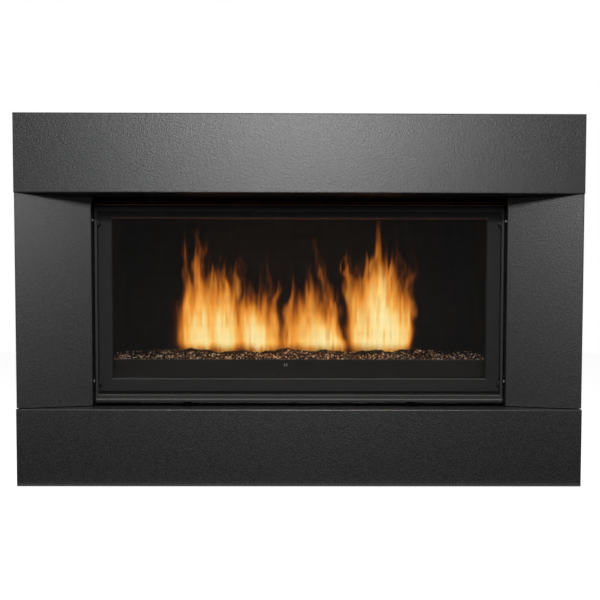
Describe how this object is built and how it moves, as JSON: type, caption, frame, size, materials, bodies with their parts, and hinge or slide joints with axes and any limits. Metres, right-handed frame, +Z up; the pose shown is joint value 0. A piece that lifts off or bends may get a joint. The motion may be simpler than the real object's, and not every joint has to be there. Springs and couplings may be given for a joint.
{
  "type": "direct vent fireplace",
  "caption": "Direct vent gas fireplace: folded steel surround, glazed and sealed firebox behind a wire safety barrier, slotted burner under crushed glass, vent collars on top, controls below.",
  "frame": {"origin": "centre of the footprint, on the floor under the casing", "axes": "+Z up, +X to the viewer's right, the surround faces -Y"},
  "size_m": [1.2, 0.452, 0.788],
  "materials": {
    "charcoal_powder_coat": "fine textured matt powder coat",
    "black_paint": "matt high-temperature paint",
    "galvanised_steel": "galvanised, faint spangle",
    "zinc_plate": "bright zinc plate",
    "stainless_steel": "satin mill finish",
    "ceramic_glass": "clear, polished",
    "rope_gasket": "woven fibre rope",
    "bronze_glass": "crushed bronze glass grains",
    "brass": "machined",
    "cast_aluminium": "as cast",
    "black_nylon": "moulded, fine grain",
    "red_nylon": "moulded",
    "white_ceramic": "glazed ceramic"
  },
  "bodies": {
    "chassis": {"top_panel": "charcoal_powder_coat", "side_panel_left": "charcoal_powder_coat", "side_panel_right": "charcoal_powder_coat", "jamb_left": "black_paint", "jamb_right": "black_paint", "header_rail": "black_paint", "sill_rail": "black_paint", "firebox_flange": "black_paint", "firebox": "black_paint", "baffle": "black_paint", "burner_tray": "black_paint", "casing_shell": "galvanised_steel", "casing_base": "galvanised_steel", "casing_top": "galvanised_steel", "nailing_flange_left": "galvanised_steel", "nailing_flange_right": "galvanised_steel", "intake_collar": "galvanised_steel", "compartment_deck": "galvanised_steel", "orifice_bracket": "galvanised_steel", "control_plate": "galvanised_steel", "junction_box": "galvanised_steel", "supply_tube": "galvanised_steel", "panel_screw_left_upper": "zinc_plate", "panel_screw_left_lower": "zinc_plate", "panel_screw_right_upper": "zinc_plate", "panel_screw_right_lower": "zinc_plate", "panel_magnet_left": "zinc_plate", "panel_magnet_right": "zinc_plate", "pilot_bracket": "zinc_plate", "exhaust_collar": "stainless_steel", "restrictor_track": "stainless_steel", "door_spring_left": "stainless_steel", "door_spring_right": "stainless_steel", "burner_tube": "stainless_steel", "pilot_hood": "stainless_steel", "flame_sensor": "stainless_steel", "ember_bed": "bronze_glass", "orifice": "brass", "shutoff_valve": "brass", "venturi": "cast_aluminium", "gas_valve": "cast_aluminium", "feed_tube": "cast_aluminium", "igniter_body": "black_nylon", "switch_housing": "black_nylon", "spark_electrode": "white_ceramic"},
    "access_panel": {"bottom_panel": "charcoal_powder_coat"},
    "door": {"door_frame": "black_paint", "door_glass": "ceramic_glass", "door_gasket": "rope_gasket", "glass_retainer_top": "zinc_plate", "glass_retainer_bottom": "zinc_plate"},
    "barrier": {"barrier_frame": "black_paint", "barrier_mesh": "black_paint"},
    "gas_knob": {"gas_knob": "black_nylon"},
    "flame_knob": {"flame_knob": "black_nylon"},
    "igniter_button": {"igniter_button": "red_nylon"},
    "rocker": {"switch_rocker": "black_nylon"},
    "shutoff_lever": {"shutoff_lever": "red_nylon"},
    "air_shutter": {"air_shutter": "stainless_steel"},
    "restrictor": {"restrictor_plate": "stainless_steel"}
  },
  "joints": [
    {"name": "panel_pull", "type": "slide", "parent": "chassis", "child": "access_panel", "axis": [0, -1, 0], "range_m": [0, 0.12]},
    {"name": "door_swing", "type": "hinge", "parent": "chassis", "child": "door", "pos_m": [0, -0.119, 0.623], "axis": [-1, 0, 0], "range_deg": [0, 6], "stiffness_Nm_per_rad": 60, "springref_deg": -2.86, "deforming": ["door_spring_left", "door_spring_right"]},
    {"name": "barrier_pull", "type": "slide", "parent": "door", "child": "barrier", "axis": [0, -1, 0], "range_m": [0, 0.12]},
    {"name": "gas_knob_turn", "type": "hinge", "parent": "chassis", "child": "gas_knob", "pos_m": [-0.31, -0.093, 0.092], "axis": [0, -1, 0], "range_deg": [0, 180]},
    {"name": "flame_knob_turn", "type": "hinge", "parent": "chassis", "child": "flame_knob", "pos_m": [-0.262, -0.093, 0.092], "axis": [0, -1, 0], "range_deg": [0, 90]},
    {"name": "igniter_push", "type": "slide", "parent": "chassis", "child": "igniter_button", "axis": [0, 1, 0], "range_m": [0, 0.005], "stiffness_N_per_m": 1200, "springref_m": -0.002},
    {"name": "rocker_tilt", "type": "hinge", "parent": "chassis", "child": "rocker", "pos_m": [-0.16, -0.0865, 0.092], "axis": [-1, 0, 0], "range_deg": [0, 14]},
    {"name": "shutoff_turn", "type": "hinge", "parent": "chassis", "child": "shutoff_lever", "pos_m": [-0.427, -0.036, 0.0973], "axis": [0, 0, 1], "range_deg": [0, 90]},
    {"name": "air_shutter_turn", "type": "hinge", "parent": "chassis", "child": "air_shutter", "pos_m": [-0.327, 0.014, 0.189], "axis": [1, 0, 0], "range_deg": [0, 45]},
    {"name": "restrictor_slide", "type": "slide", "parent": "chassis", "child": "restrictor", "axis": [-1, 0, 0], "range_m": [0, 0.05]}
  ]
}
